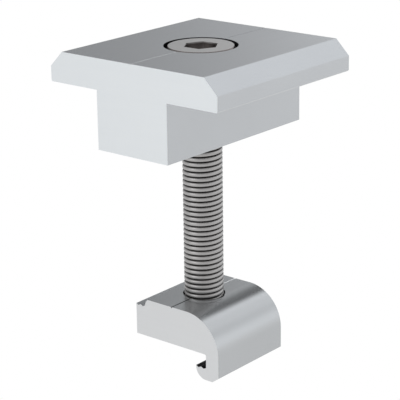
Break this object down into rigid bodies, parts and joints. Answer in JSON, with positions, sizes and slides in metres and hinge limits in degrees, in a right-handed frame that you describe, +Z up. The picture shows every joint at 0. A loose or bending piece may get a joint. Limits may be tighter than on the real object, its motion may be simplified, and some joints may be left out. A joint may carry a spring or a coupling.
{
  "type": "solar mid clamp",
  "caption": "Mid clamp that holds two neighbouring solar modules down on a rail: T-shaped aluminium body, socket head bolt and hooked rail nut.",
  "frame": {"origin": "on the bolt's axis, level with the lowest point of the nut's hook, which is the bottom centre of the whole clamp's box", "axes": "+Z up along the bolt towards its head, Y along the rail and both extrusions, +X towards the nut's hook"},
  "size_m": [0.0404, 0.04, 0.0632],
  "materials": {
    "clamp_aluminium": "mill-finish extrusion, satin",
    "bolt_steel": "plain stainless steel, satin",
    "nut_aluminium": "mill-finish extrusion, satin"
  },
  "bodies": {
    "nut": {"hook_nut": "nut_aluminium"},
    "clamp": {"clamp_body": "clamp_aluminium"},
    "bolt": {"socket_bolt": "bolt_steel"}
  },
  "joints": [
    {"name": "clamp_travel", "type": "slide", "parent": "nut", "child": "clamp", "axis": [0, 0, 1], "range_m": [-0.032, 0.003]},
    {"name": "bolt_turn", "type": "hinge", "parent": "clamp", "child": "bolt", "pos_m": [0, 0, 0.05515], "axis": [0, 0, 1], "range_deg": [-11520, 1080]}
  ],
  "couplings": [
    {"joint": "bolt_turn", "follows": "clamp_travel", "rad_per_m": 6283.2}
  ]
}
